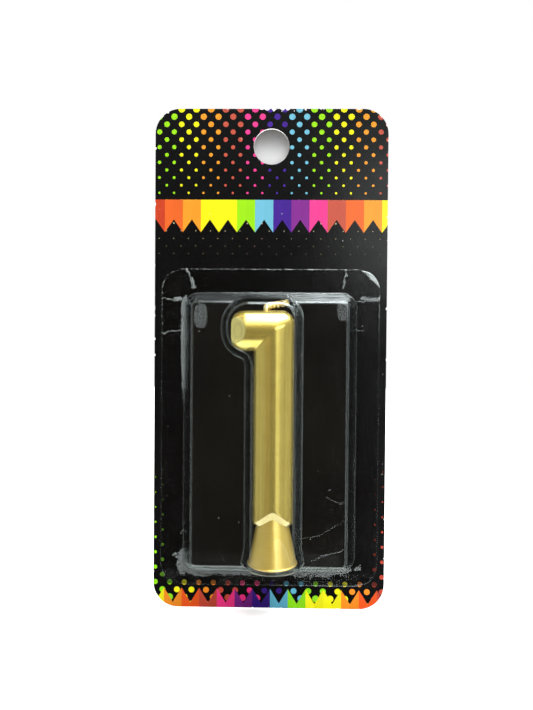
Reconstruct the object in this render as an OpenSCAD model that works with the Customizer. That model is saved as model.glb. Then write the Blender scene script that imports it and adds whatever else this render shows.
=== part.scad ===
// Number candle in its retail pack: a gold numeral one with a wick and a conical foot,
// held in a clear formed shell that is sealed to a hang card.
// The origin is the middle of the hang hole, halfway through the card.
// X runs to the right, Z runs up, and the front of the pack faces -Y.

/* [Candle] */
// Height of the candle from its foot to the top of the flag
candle_h = 68; // [55:0.5:90]
// Width of the stem and height of the flag, seen from the front
tube_w = 11; // [9:0.25:13]
// Depth of the stem and the flag from front to back
tube_d = 10; // [8:0.25:12]
// Reach of the flag from the stem's axis to its tip
flag_reach = 11.35; // [10:0.05:16]
// Radius of the outer corner where the flag meets the stem
bend_r = 3.5; // [1:0.25:5]
// Radius in the valley under the flag
valley_r = 0.25; // [0.15:0.05:0.6]
// Length over which the flag's tip is rounded
tip_round = 4; // [2:0.25:5]
// Width of the flat that ends the flag's tip
tip_flat = 6; // [3:0.25:7]
// Turn of the oval facet cut on the front of the tip, from the front towards the side
facet_turn = 36; // [20:1:55]
// Depth of the oval facet below the tip's square corner
facet_cut = 2.2; // [1.6:0.1:2.8]

/* [Stem end] */
// Height of the stem's end above the foot's underside, at its two sides
stem_end = 10.9; // [8:0.1:15]
// Rise of the arched lip from the sides to the front and back of the stem
lip_rise = 4.1; // [1:0.1:6]
// Height of the lip's bevel at the sides
bevel_side = 0.8; // [0.4:0.1:1.5]
// Height of the lip's bevel at the front and back
bevel_front = 2.2; // [0.8:0.1:3]
// Least wall between the stem's surface and the foot, where the lip ends
lip_t = 0.5; // [0.3:0.05:1]

/* [Foot] */
// Slope of the foot's cone from upright
foot_flare = 11.7; // [5:0.1:20]
// Height of the cone that is hidden inside the stem
foot_cover = 1.2; // [0.5:0.1:3]
// Height of the bead around the foot's base
rim_h = 0.5; // [0.3:0.05:1]
// Distance that the bead stands out from the cone
rim_out = 0.15; // [0.05:0.05:0.4]
// Diameter of the spigot that holds the foot in the stem
spigot_d = 5; // [3:0.25:6]
// Length of the spigot above the cone
spigot_l = 6; // [3:0.5:12]

/* [Wick] */
// Diameter of the wick
wick_d = 1.5; // [1:0.1:2]
// Distance of the wick from the stem's axis, towards the flag's tip
wick_offset = 2.1; // [0:0.1:3]
// Wax between the wick's lower end and the foot's spigot
wick_floor = 3; // [1:0.5:10]
// Height of the bent wick's tip above the flag
wick_rise = 2.3; // [1.5:0.1:4]
// Sideways run of the wick's bent end
wick_run = 6.2; // [4:0.1:8]
// Distance that the bent end leans back towards the card
wick_lean = 4; // [0:0.1:4.5]

/* [Card] */
// Width of the card
card_w = 65; // [60:0.5:90]
// Thickness of the card
card_t = 0.5; // [0.3:0.05:1]
// Radius of the card's corners
card_r = 7; // [2:0.5:10]
// Margin of the card beside the flange
card_side = 2; // [1:0.25:8]
// Height of the card above the flange
card_head = 44.6; // [34:0.1:60]
// Height of the card below the flange
card_foot = 6.5; // [2:0.25:20]
// Diameter of the hang hole
hole_d = 10; // [6:0.5:14]
// Distance from the card's top edge to the middle of the hang hole
hole_drop = 10.5; // [9:0.5:16]

/* [Clear shell] */
// Thickness of the clear film
film_t = 0.3; // [0.2:0.05:0.4]
// Width of the sealed flange at the sides
seal_side = 6; // [3:0.25:10]
// Height of the sealed flange above the tray
seal_top = 6.3; // [3:0.1:12]
// Height of the sealed flange below the tray
seal_bottom = 3.9; // [2:0.1:12]
// Radius of the flange's corners
flange_r = 6; // [2:0.5:10]
// Depth of the tray in front of the card
tray_depth = 6; // [4:0.25:8]
// Slope of the tray's walls from square
tray_draft = 25; // [8:1:32]
// Radius where the tray's walls leave the flange
tray_foot_r = 0.8; // [0.4:0.1:1.2]
// Radius where the tray's walls meet its front
tray_crown_r = 1; // [0.4:0.1:1.5]
// Radius of the corners of the tray's front
tray_corner_r = 0.5; // [0.4:0.1:3]
// Distance of the stem's axis to the right of the card's middle
stem_x = 1.1; // [-2:0.05:3]
// Room in the tray above the flag
head_room = 5.7; // [5.5:0.05:12]
// Room in the tray below the foot
foot_room = 5; // [3:0.05:12]
// Extra length of the pocket beyond the flag's tip
tip_room = 0.7; // [0:0.05:3]
// Slope of the pocket's walls from square
pocket_draft = 15; // [6:1:18]
// Radius where the pocket's walls meet its front
pocket_crown_r = 1; // [0.4:0.1:1.5]
// Radius of the pocket's corner over the bend
pocket_corner_r = 3.5; // [2:0.25:5]
// Radius left in the pocket's inside corner at the card
pocket_valley_r = 0.7; // [0.4:0.1:2]
// Radius of the pocket's corners beside the foot
pocket_end_r = 2; // [1.5:0.25:4]
// Slope of the walls that run from the foot to the card
foot_draft = 14; // [6:1:16]

/* [Clearances] */
// Gap between the wick and its bore
wick_fit = 0.05; // [0.03:0.01:0.1]
// Gap between the foot and its seat in the stem
foot_fit = 0.1; // [0.05:0.01:0.2]
// Gap between the candle and the card
back_gap = 0.3; // [0.25:0.05:0.6]
// Gap between the numeral and the front of its pocket
front_gap = 0.6; // [0.3:0.05:1.5]
// Gap between the numeral and the sides of its pocket, at the candle's axis
side_gap = 1.6; // [0.8:0.05:2.5]
// Gap around the cone of the foot
foot_gap = 1; // [0.5:0.05:1.5]
// Gap under the foot
end_gap = 0.3; // [0.25:0.05:0.6]
// Distance that the candle can slide up in its pocket
candle_play = 0.6; // [0.3:0.05:1]

/* [Hidden] */
$fn = 64;

// Steps in round stretches of the lofted forms
section_points = 40;
tip_steps = 6;
bend_steps = 7;
arc_steps = 6;
crown_steps = 4;
wick_sides = 10;
wick_steps = 10;
// Overlap that makes each cut clean
cut = 1;
// Rounding of the arched lip's peak, as a share of the stem's half width
lip_soft = 0.2;

// Candle: the origin of its own sizes is the middle of the foot's underside
half_w = tube_w / 2;
half_d = tube_d / 2;
flag_z = candle_h - half_w;
lip_low = stem_end - bevel_side;
lip_low_rise = lip_rise + bevel_side - bevel_front;
foot_h = lip_low + lip_low_rise + foot_cover;
foot_slope = tan(foot_flare);
foot_r = min(half_w, half_d) - lip_t + foot_slope * lip_low;
foot_reach = foot_r + rim_out;
wick_r = wick_d / 2;
wick_foot = foot_h + spigot_l + foot_fit + wick_floor;

// Pack: heights follow from the candle's and the rooms around it, widths from the card's
flange_w = card_w - 2 * card_side;
tray_w = flange_w - 2 * seal_side;
tray_h = foot_room + candle_h + head_room;
flange_h = tray_h + seal_top + seal_bottom;
card_h = card_head + flange_h + card_foot;
card_mid = hole_drop - card_h / 2;
flange_mid = hole_drop - card_head - flange_h / 2;
tray_mid = hole_drop - card_head - seal_top - tray_h / 2;
candle_base = tray_mid - tray_h / 2 + foot_room;
axis_out = max(foot_reach, half_d) + back_gap;

// Pocket: its outline is the numeral's, grown more at the card than at the front
pocket_depth = axis_out + half_d + front_gap + film_t;
pocket_slope = tan(pocket_draft);
pocket_grow = side_gap + film_t + axis_out * pocket_slope;
wick_top_out = axis_out - wick_lean + wick_r;
room_at_wick = side_gap + (axis_out - wick_top_out) * pocket_slope;
wick_allow = max(0, wick_rise + wick_r + candle_play + back_gap - room_at_wick);
head_mid = [stem_x - flag_reach - tip_room + half_w, candle_base + flag_z];
head_top = head_mid[1] + half_w + wick_allow;
valley_bend = pocket_valley_r + pocket_grow;
valley_x = stem_x - half_w - valley_bend;
valley_side = min(valley_x - head_mid[0], 0);
valley_drop = sqrt(pow(half_w + valley_bend, 2) - pow(valley_side, 2));
valley_turn = 360 + atan2(-valley_drop, valley_side);
valley_mid = [valley_x, head_mid[1] - valley_drop];
pocket_bottom = candle_base + side_gap - end_gap;

function foot_radius(z) = foot_r - foot_slope * z;

// Points on an arc around c, in a plane
function arc(c, r, from, to, steps) =
    [for (i = [0:steps]) let (t = from + (to - from) * i / steps) c + r * [cos(t), sin(t)]];

// Height and inset along the round that joins a flange to a wall of the given slope
function wall_foot(r, draft) =
    [for (i = [0:crown_steps]) let (t = (90 - draft) * i / crown_steps) [r - r * cos(t), r * sin(t)]];

// Height and inset along the round that joins a wall to its flat front, for a wall that starts at an inset
function wall_crown(depth, start, r, draft) =
    let (middle = start + depth * tan(draft) + r * tan(45 - draft / 2))
    [for (i = [crown_steps:-1:0]) let (t = (90 - draft) * i / crown_steps)
        [depth - r + r * cos(t), middle - r * sin(t)]];

// A ring of points in a plane, raised to height h
function raise(points, h) = [for (p = points) [p[0], p[1], h]];

// Closed skin over rings that all have the same count of points
module loft(rings) {
    n = len(rings[0]);
    last = len(rings) - 1;
    sides = [for (k = [0:last - 1], i = [0:n - 1]) let (j = (i + 1) % n, a = k * n, b = a + n)
        each [[a + i, b + j, a + j], [a + i, b + i, b + j]]];
    ends = [[for (i = [0:n - 1]) i], [for (i = [n:-1:1]) last * n + i % n]];
    polyhedron(points = [for (ring = rings) each ring], faces = concat(sides, ends));
}

// Carries a form drawn flat, with its height as Z, to the front of the card
module on_card() {
    translate([0, -card_t / 2, 0]) rotate([90, 0, 0]) children();
}

// Carries a form drawn around the middle of the foot's underside to its place in the pack
module at_candle() {
    translate([stem_x, -card_t / 2 - axis_out, candle_base]) children();
}

// Flat plate with round corners, drawn around its middle
module round_plate(w, h, r, t) {
    linear_extrude(t) {
        square([w - 2 * r, h], center = true);
        square([w, h - 2 * r], center = true);
        for (sx = [-1, 1], sy = [-1, 1]) translate([sx * (w / 2 - r), sy * (h / 2 - r)]) circle(r);
    }
}

module backing_card() {
    color([0.1, 0.1, 0.11]) on_card() translate([0, 0, -card_t]) difference() {
        translate([0, card_mid, 0]) round_plate(card_w, card_h, card_r, card_t);
        translate([0, 0, -cut]) cylinder(d = hole_d, h = card_t + 2 * cut);
    }
}

// Outline of the tray, drawn in by an inset
tray_wall = concat(wall_foot(tray_foot_r, tray_draft),
    wall_crown(tray_depth - film_t, tray_foot_r * tan(45 - tray_draft / 2), tray_crown_r, tray_draft));
tray_base_r = tray_corner_r + tray_wall[len(tray_wall) - 1][1] + film_t;

function tray_ring(inset) =
    let (r = tray_base_r - inset, x = tray_w / 2 - tray_base_r, y = tray_h / 2 - tray_base_r)
    [for (q = [[1, 1, 0], [-1, 1, 90], [-1, -1, 180], [1, -1, 270]])
        each arc([q[0] * x, tray_mid + q[1] * y], r, q[2], q[2] + 90, arc_steps)];

// The tray as a block, thinner all round by shrink and open from the height start
module tray_block(shrink, start) {
    base = film_t - shrink;
    rings = [for (p = tray_wall) raise(tray_ring(shrink + p[1]), base + p[0])];
    loft(concat([raise(tray_ring(shrink), start)], rings));
}

// Outline of the numeral's pocket, grown by g: round corners turn out, the valley under the flag turns in
function pocket_ring(g) =
    let (end_x = half_w - pocket_end_r, corner_x = half_w - pocket_corner_r)
    concat(
        arc([stem_x + corner_x, head_top - pocket_corner_r], pocket_corner_r + g, 0, 90, arc_steps),
        arc([head_mid[0], head_top - half_w], half_w + g, 90, 180, arc_steps),
        arc(head_mid, half_w + g, 181, valley_turn - 1, arc_steps),
        arc(valley_mid, g - valley_bend, valley_turn, 180, arc_steps),
        arc([stem_x - end_x, pocket_bottom + pocket_end_r], pocket_end_r + g, 180, 270, arc_steps),
        arc([stem_x + end_x, pocket_bottom + pocket_end_r], pocket_end_r + g, 270, 360, arc_steps)
    );

// The pocket over the numeral and the wick, thinner all round by shrink and open from the height start
module pocket_block(shrink, start) {
    grow = pocket_grow - shrink;
    crown = wall_crown(pocket_depth - shrink, 0, pocket_crown_r, pocket_draft);
    rings = [for (p = crown) raise(pocket_ring(grow - p[1]), p[0])];
    loft(concat([raise(pocket_ring(grow - start * pocket_slope), start)], rings));
}

// The bulge over the foot: its cone, grown by the gap, with walls that slope to the card
module foot_block(shrink, start) {
    grow = foot_gap + film_t - shrink;
    low = candle_base - end_gap - film_t + shrink;
    high = candle_base + foot_h;
    spread = grow + (axis_out - start) * tan(foot_draft);
    hull() {
        translate([stem_x, low, axis_out]) rotate([-90, 0, 0])
            cylinder(h = high - low, r1 = foot_reach + grow, r2 = foot_radius(foot_h) + grow);
        translate([0, 0, start]) linear_extrude(film_t) polygon([
            [stem_x - foot_reach - spread, low - spread + grow],
            [stem_x + foot_reach + spread, low - spread + grow],
            [stem_x + foot_radius(foot_h) + spread, high],
            [stem_x - foot_radius(foot_h) - spread, high]]);
    }
}

module shell_blocks(shrink, start) {
    tray_block(shrink, start);
    pocket_block(shrink, start);
    foot_block(shrink, start);
}

module blister_shell() {
    color([0.8, 0.86, 0.9, 0.35]) on_card() difference() {
        union() {
            translate([0, flange_mid, 0]) round_plate(flange_w, flange_h, flange_r, film_t);
            shell_blocks(0, 0);
        }
        shell_blocks(film_t, -cut);
    }
}

// Numeral: an oval tube along the flag, round the bend and down the stem.
// Each point of the section has u across the tube, out of the bend, and v towards the front.
numeral_section = [for (i = [0:section_points - 1]) let (t = 360 * i / section_points) [cos(t), sin(t)]];

function bend_radius(u) = valley_r + (bend_r - valley_r) * max(0, u / half_w);

function tip_ring(t) =
    let (x = -flag_reach + tip_round * (1 - cos(t)), flat = tip_flat / tube_w, s = flat + (1 - flat) * sin(t))
    [for (p = numeral_section) [x, -s * half_d * p[1], flag_z + s * half_w * p[0]]];

function bend_ring(t) =
    [for (p = numeral_section) let (u = half_w * p[0], r = bend_radius(u))
        [u - r + r * cos(t), -half_d * p[1], flag_z + u - r + r * sin(t)]];

// Height of the arch, from 0 at the stem's sides to 1 at its front and back
function arch(c) = 1 - (norm([c, lip_soft]) - lip_soft) / (norm([1, lip_soft]) - lip_soft);

function lip_ring() =
    [for (p = numeral_section) [half_w * p[0], -half_d * p[1], stem_end + lip_rise * arch(p[0])]];

// Ring on the seat of the foot, at the height that each point of the section has
function seat_ring(heights) =
    [for (i = [0:section_points - 1]) let (p = numeral_section[i], r = foot_radius(heights[i]) + foot_fit)
        [r * p[0], -r * p[1], heights[i]]];

module candle_numeral() {
    seat_edge = [for (p = numeral_section) lip_low + lip_low_rise * arch(p[0])];
    seat_top = [for (p = numeral_section) foot_h + foot_fit];
    color([0.83, 0.71, 0.33]) at_candle() difference() {
        loft(concat(
            [for (k = [0:tip_steps]) tip_ring(90 * k / tip_steps)],
            [for (k = [0:bend_steps]) bend_ring(90 - 90 * k / bend_steps)],
            [lip_ring(), seat_ring(seat_edge), seat_ring(seat_top)]
        ));
        translate([-flag_reach, -half_d, flag_z]) rotate([0, 0, -facet_turn])
            translate([-tube_w, facet_cut - tube_w, -tube_w]) cube([2 * tube_w, tube_w, 2 * tube_w]);
        translate([-wick_offset, 0, wick_foot]) cylinder(r = wick_r + wick_fit, h = candle_h);
        cylinder(d = spigot_d + 2 * foot_fit, h = foot_h + spigot_l + foot_fit);
    }
}

module candle_foot() {
    color([0.8, 0.64, 0.26]) at_candle() {
        rotate_extrude() polygon([[0, 0], [foot_r, 0], [foot_reach, rim_h / 2], [foot_radius(rim_h), rim_h],
            [foot_radius(foot_h), foot_h], [0, foot_h]]);
        translate([0, 0, foot_h - cut]) cylinder(d = spigot_d, h = spigot_l + cut);
    }
}

// Wick: straight inside the wax, then one smooth bend above the flag
wick_exit = [-wick_offset, 0, candle_h];
wick_bend = [
    wick_exit,
    wick_exit + [0, 0, wick_rise / 2],
    wick_exit + [wick_run / 4, wick_lean, wick_rise * 2 / 3],
    wick_exit + [wick_run, wick_lean, wick_rise]
];

function bend_point(t) =
    pow(1 - t, 3) * wick_bend[0] + 3 * t * pow(1 - t, 2) * wick_bend[1]
    + 3 * t * t * (1 - t) * wick_bend[2] + pow(t, 3) * wick_bend[3];

function bend_way(t) =
    pow(1 - t, 2) * (wick_bend[1] - wick_bend[0]) + 2 * t * (1 - t) * (wick_bend[2] - wick_bend[1])
    + t * t * (wick_bend[3] - wick_bend[2]);

// Ring of radius r around a point, square to the way that the wick runs there
function wick_ring(point, way, r) =
    let (a = way / norm(way), b = cross([0, 1, 0], a), u = b / norm(b), v = cross(a, u))
    [for (i = [0:wick_sides - 1]) let (t = 360 * i / wick_sides) point + r * (cos(t) * u + sin(t) * v)];

module candle_wick() {
    start = [-wick_offset, 0, wick_foot];
    tip = wick_bend[3];
    tip_way = bend_way(1);
    color([0.88, 0.76, 0.38]) at_candle() loft(concat(
        [wick_ring(start, [0, 0, 1], wick_r)],
        [for (k = [0:wick_steps]) let (t = k / wick_steps) wick_ring(bend_point(t), bend_way(t), wick_r)],
        [wick_ring(tip + tip_way / norm(tip_way) * wick_r / 2, tip_way, wick_r / 2)]
    ));
}

backing_card();
blister_shell();
candle_numeral();
candle_wick();
candle_foot();
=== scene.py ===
import math

import bpy
import numpy as np
from mathutils import Matrix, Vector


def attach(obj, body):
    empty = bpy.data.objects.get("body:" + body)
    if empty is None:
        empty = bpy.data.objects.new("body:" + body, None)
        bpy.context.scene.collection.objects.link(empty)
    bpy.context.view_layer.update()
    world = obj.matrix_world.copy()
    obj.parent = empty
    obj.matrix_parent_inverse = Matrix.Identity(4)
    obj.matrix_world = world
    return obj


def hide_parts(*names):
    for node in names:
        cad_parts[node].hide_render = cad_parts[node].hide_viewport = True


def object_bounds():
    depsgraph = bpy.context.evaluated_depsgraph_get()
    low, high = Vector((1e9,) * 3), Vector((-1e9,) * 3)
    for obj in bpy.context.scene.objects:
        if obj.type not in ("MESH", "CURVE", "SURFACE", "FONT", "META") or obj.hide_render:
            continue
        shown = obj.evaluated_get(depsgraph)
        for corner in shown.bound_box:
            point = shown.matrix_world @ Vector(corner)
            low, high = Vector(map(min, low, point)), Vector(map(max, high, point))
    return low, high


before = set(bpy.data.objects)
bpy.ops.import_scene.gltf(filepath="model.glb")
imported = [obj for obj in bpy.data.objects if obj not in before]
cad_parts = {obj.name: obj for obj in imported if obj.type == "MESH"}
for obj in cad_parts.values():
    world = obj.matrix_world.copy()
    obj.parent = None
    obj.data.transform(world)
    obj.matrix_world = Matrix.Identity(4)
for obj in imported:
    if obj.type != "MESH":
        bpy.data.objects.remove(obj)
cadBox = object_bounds()
mm = 0.001
print("frame loaded:", sorted(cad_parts))


# small tools for meshes

def putMesh(name, body, nodes, points, faces, material, sharpDeg=None):
    # points in millimetres, faces as lists of indices
    mesh = bpy.data.meshes.new(name)
    mesh.from_pydata((points * mm).tolist(), [], faces)
    mesh.polygons.foreach_set("use_smooth", np.ones(len(faces), bool))
    mesh.update()
    if sharpDeg:
        mesh.set_sharp_from_angle(angle=math.radians(sharpDeg))
    mesh.materials.append(material)
    piece = bpy.data.objects.new(name, mesh)
    bpy.context.scene.collection.objects.link(piece)
    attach(piece, body)
    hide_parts(*nodes)
    print(name, "faces", len(faces))
    return piece


def gridQuads(rows, cols, wrap, start=0):
    # quads between neighbours of a rows x cols grid; wrap joins the last column to the first
    r, c = np.meshgrid(np.arange(rows - 1), np.arange(cols if wrap else cols - 1), indexing="ij")
    n = (c + 1) % cols
    quads = np.stack([r * cols + c, r * cols + n, (r + 1) * cols + n, (r + 1) * cols + c], axis=-1)
    return (quads + start).reshape(-1, 4)


def tube(rings):
    # closed skin over rings of equal count: side quads, and a fan from the middle of each end ring
    rows, cols = rings.shape[:2]
    points = np.concatenate([rings.reshape(-1, 3), rings[0].mean(0)[None], rings[-1].mean(0)[None]])
    i = np.arange(cols)
    j = (i + 1) % cols
    last = (rows - 1) * cols
    firstFan = np.stack([np.full(cols, rows * cols), j, i], axis=1)
    lastFan = np.stack([np.full(cols, rows * cols + 1), last + i, last + j], axis=1)
    return points, gridQuads(rows, cols, True).tolist() + firstFan.tolist() + lastFan.tolist()


def flipped(faces):
    return [list(reversed(f)) for f in faces]


# small tools for materials

def put(tree, kind, inputs=None, **settings):
    node = tree.nodes.new("ShaderNode" + kind)
    for key, value in settings.items():
        setattr(node, key, value)
    for key, value in (inputs or {}).items():
        if isinstance(value, bpy.types.NodeSocket):
            tree.links.new(value, node.inputs[key])
        else:
            node.inputs[key].default_value = value
    return node


def calc(tree, operation, *values):
    return put(tree, "Math", dict(enumerate(values)), operation=operation).outputs[0]


def times(tree, product, *others):
    for other in others:
        product = calc(tree, "MULTIPLY", product, other)
    return product


def mathTool(operation):
    return lambda tree, *values: calc(tree, operation, *values)


plus, minus, ratio, larger = mathTool("ADD"), mathTool("SUBTRACT"), mathTool("DIVIDE"), mathTool("MAXIMUM")
less, more, absolute = mathTool("LESS_THAN"), mathTool("GREATER_THAN"), mathTool("ABSOLUTE")


def addTimes(tree, base, a, b):
    # base plus a times b
    return calc(tree, "MULTIPLY_ADD", a, b, base)


def squares(tree, a, b):
    # the sum of two squares
    return addTimes(tree, times(tree, a, a), b, b)


def smooth(tree, value, low, high):
    # 0 at low, 1 at high, with a soft start and end
    node = put(tree, "MapRange", {"Value": value, "From Min": low, "From Max": high}, interpolation_type="SMOOTHSTEP")
    return node.outputs[0]


def within(tree, value, edges):
    # 1 between the two middle edges, falling softly to 0 at the outer ones
    return times(tree, smooth(tree, value, edges[0], edges[1]), smooth(tree, value, edges[3], edges[2]))


def blend(tree, factor, a, b):
    # a colour is a socket or three numbers
    a, b = [(*colour, 1) if isinstance(colour, tuple) else colour for colour in (a, b)]
    return put(tree, "Mix", {0: factor, 6: a, 7: b}, data_type="RGBA").outputs[2]


def mixValue(tree, factor, a, b):
    return put(tree, "Mix", {0: factor, 2: a, 3: b}).outputs[0]


def vectors(tree, operation, *values):
    # SCALE takes a vector and a number; distances and dot products give a number
    keys = (0, "Scale") if operation == "SCALE" else range(3)
    node = put(tree, "VectorMath", dict(zip(keys, values)), operation=operation)
    return node.outputs["Value" if operation in ("DISTANCE", "DOT_PRODUCT") else "Vector"]


def split(tree, vector):
    return put(tree, "SeparateXYZ", {0: vector}).outputs


def noise(tree, vector, scale, detail=2.0, output=0):
    return put(tree, "TexNoise", {"Vector": vector, "Scale": scale, "Detail": detail}).outputs[output]


def bumps(tree, height, strength, distance):
    return put(tree, "Bump", {"Height": height, "Strength": strength, "Distance": distance}).outputs[0]


def roundRect(tree, x, z, width, top, bottom, corner):
    # distance out from a rectangle's inner corners, so level lines turn round them; the outline is where it equals corner
    across = minus(tree, absolute(tree, x), width / 2 - corner)
    along = minus(tree, absolute(tree, minus(tree, z, (top + bottom) / 2)), (top - bottom) / 2 - corner)
    outside = squares(tree, larger(tree, across, 0.0), larger(tree, along, 0.0))
    inside = calc(tree, "MINIMUM", larger(tree, across, along), 0.0)
    return plus(tree, calc(tree, "SQRT", outside), inside)


def stops(tree, factor, colours, mode="CONSTANT", places=None):
    # colour bands along a factor from 0 to 1
    node = put(tree, "ValToRGB", {0: factor})
    bands = node.color_ramp
    bands.interpolation = mode
    places = places or [k / len(colours) for k in range(len(colours))]
    while len(bands.elements) < len(colours):
        bands.elements.new(1.0)
    for element, place, colour in zip(bands.elements, places, colours):
        element.position = place
        element.color = (*colour, 1)
    return node.outputs[0]


def inMillimetres(tree):
    # object coordinates, as a vector and as three values
    vector = vectors(tree, "SCALE", put(tree, "TexCoord").outputs["Object"], 1 / mm)
    return vector, split(tree, vector)


def newMaterial(name):
    material = bpy.data.materials.new(name)
    material.use_nodes = True
    material.node_tree.nodes.clear()
    return material, material.node_tree


def finishMaterial(material, kind, inputs):
    tree = material.node_tree
    put(tree, "OutputMaterial", {"Surface": put(tree, kind, inputs).outputs[0]})
    return material


def newGroup(name, vectorInputs, valueInputs, output):
    # a shared effect: its tree, its inputs by name, and the socket of its one value
    tree = bpy.data.node_groups.new(name, "ShaderNodeTree")
    for kind, labels in (("NodeSocketVector", vectorInputs), ("NodeSocketFloat", valueInputs)):
        for label in labels:
            tree.interface.new_socket(label, in_out="INPUT", socket_type=kind)
    tree.interface.new_socket(output, in_out="OUTPUT", socket_type="NodeSocketFloat")
    return tree, tree.nodes.new("NodeGroupInput").outputs, tree.nodes.new("NodeGroupOutput").inputs[output]


def useGroup(tree, group, inputs):
    return put(tree, "Group", inputs, node_tree=group).outputs[0]


def linear(*values):
    # screen colour 0 to 255 to linear light
    c = np.array(values) / 255
    return tuple(np.where(c < 0.04045, c / 12.92, ((c + 0.055) / 1.055) ** 2.4).tolist())


# specks of dust: small discs where a random cell value passes the amount
dustGroup, given, result = newGroup("dustSpecks", ["Vector"], ["Scale", "Amount", "Size"], "Mask")
cells = put(dustGroup, "TexVoronoi", {"Vector": given["Vector"], "Scale": given["Scale"]}).outputs
pick = put(dustGroup, "SeparateColor", {0: cells["Color"]}).outputs
chosen = less(dustGroup, pick[0], given["Amount"])
disc = less(dustGroup, cells["Distance"], times(dustGroup, pick[1], given["Size"]))
dustGroup.links.new(times(dustGroup, chosen, disc), result)

# soft mottle: noise carried from 0..1 to low..high
mottleGroup, given, result = newGroup("softMottle", ["Vector"], ["Scale", "Low", "High"], "Value")
spread = put(mottleGroup, "MapRange", {
    "Value": noise(mottleGroup, given["Vector"], given["Scale"], 4.0), "From Min": 0.3, "From Max": 0.7,
    "To Min": given["Low"], "To Max": given["High"]})
mottleGroup.links.new(spread.outputs[0], result)


def specks(tree, vector, scale, amount, size):
    return useGroup(tree, dustGroup, {"Vector": vector, "Scale": scale, "Amount": amount, "Size": size})


def mottle(tree, vector, scale, low, high):
    return useGroup(tree, mottleGroup, {"Vector": vector, "Scale": scale, "Low": low, "High": high})


# card: the CAD plate with a printed front, a paper edge and a bare back

# a triple for the dots is the height where a change begins, where it ends, and how far it goes
card = {
    "width": 65.0, "top": 10.5, "bottom": -129.5, "corner": 7.0, "half": 0.25,
    "flagPitch": 5.06, "flagStart": 0.6, "flagTop": -14.8, "flagNotch": -20.3, "flagPoint": -23.9,
    "lowPitch": 5.0, "lowStart": 0.5, "lowPoint": -124.1, "lowNotch": -128.2, "lowShade": 0.1, "topShade": 0.035,
    "dotPitch": 4.12, "dotRow": 2.12, "dotBand": 6.15, "dotBandStart": -26.1,
    "topDot": (1.6, 8.3), "topDotSize": 1.72, "topDotFade": 21.0, "topDotEnd": -30.0,
    "dotShrink": (-16.0, -23.0, 0.62), "dotFaint": (-19.0, -28.0, 0.25), "dotPale": (-14.0, -22.0, 0.7),
    "lowDot": (-1.1, -124.6), "lowDotSize": 1.65, "lowDotFade": 17.0, "lowDotEnd": -90.0,
    "lowDotHalf": 28.6, "lowDotFull": -120.5, "flangeHalf": 30.5, "flangeLow": -123.0, "filmDim": 0.8,
    "topInk": (0.54, 1.0), "lowInk": (0.56, 1.25), "gloss": (0.13, 0.21), "rough": 0.85, "specular": 0.27,
}
ink = {
    "black": (0.002, 0.002, 0.0021), "red": linear(214, 74, 44), "orange": linear(246, 112, 48),
    "amber": linear(253, 166, 50), "yellow": linear(255, 251, 34), "lime": linear(166, 240, 34),
    "sky": linear(122, 200, 224), "indigo": linear(76, 44, 150), "purple": linear(140, 54, 150),
    "pink": linear(250, 72, 152), "brick": linear(206, 94, 74), "pale": (0.75, 0.7, 0.46),
    "paper": (0.74, 0.73, 0.70), "board": (0.4, 0.375, 0.33), "darkFibre": (0.26, 0.23, 0.19),
    "paleFibre": (0.68, 0.66, 0.61), "dust": (0.5, 0.5, 0.48),
}
topFlags = ["red", "orange", "amber", "yellow", "yellow", "lime", "sky", "indigo", "purple", "pink", "brick", "orange",
            "amber", "yellow"]
lowFlags = ["yellow", "amber", "orange", "brick", "pink", "purple", "indigo", "sky", "lime", "yellow", "yellow",
            "amber", "orange", "brick"]
dotBands = ["lime", "yellow", "amber", "brick", "pink", "indigo", "sky", "lime", "yellow", "amber", "brick"]


def inks(names, level):
    # level is the ink's strength and the power that deepens it
    return [tuple(level[0] * v ** level[1] for v in ink[n]) for n in names]


def dotLayer(tree, x, z, start, size, fade, level, shrink=None):
    # lattice of discs on alternate rows; a disc's width falls off with its row's distance from the card's end
    pitch, rowPitch = card["dotPitch"], card["dotRow"]
    row = calc(tree, "ROUND", ratio(tree, minus(tree, z, start[1]), rowPitch))
    shift = times(tree, calc(tree, "FLOORED_MODULO", row, 2.0), pitch / 2)
    across = minus(tree, minus(tree, x, start[0]), shift)
    column = times(tree, calc(tree, "ROUND", ratio(tree, across, pitch)), pitch)
    rowZ = addTimes(tree, start[1], row, rowPitch)
    reach = calc(tree, "SQRT", squares(tree, minus(tree, across, column), minus(tree, z, rowZ)))
    width = times(tree, calc(tree, "EXPONENT", ratio(tree, minus(tree, rowZ, start[1]), fade)), size / 2)
    if shrink:
        width = times(tree, width, mixValue(tree, smooth(tree, rowZ, *shrink[:2]), 1.0, shrink[2]))
    middle = plus(tree, plus(tree, column, shift), start[0])
    band = calc(tree, "FLOOR", ratio(tree, minus(tree, middle, card["dotBandStart"]), card["dotBand"]))
    place = ratio(tree, plus(tree, band, 1.5), float(len(dotBands)))
    return less(tree, reach, width), stops(tree, place, inks(dotBands, level)), rowZ


def flagRow(tree, x, start, pitch, point, notch, names, level, dark):
    # swallow-tailed flags: the tail's edge runs between notch and point across each flag, and its right half is darker
    u = ratio(tree, minus(tree, x, start), pitch)
    cell = calc(tree, "FLOOR", u)
    across = minus(tree, u, cell)
    edge = addTimes(tree, notch, absolute(tree, addTimes(tree, -1.0, across, 2.0)), point - notch)
    place = ratio(tree, plus(tree, cell, len(names) / 2 + 0.5), float(len(names)))
    shade = times(tree, more(tree, across, 0.5), dark)
    return edge, blend(tree, shade, stops(tree, place, inks(names, level)), ink["black"])


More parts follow.
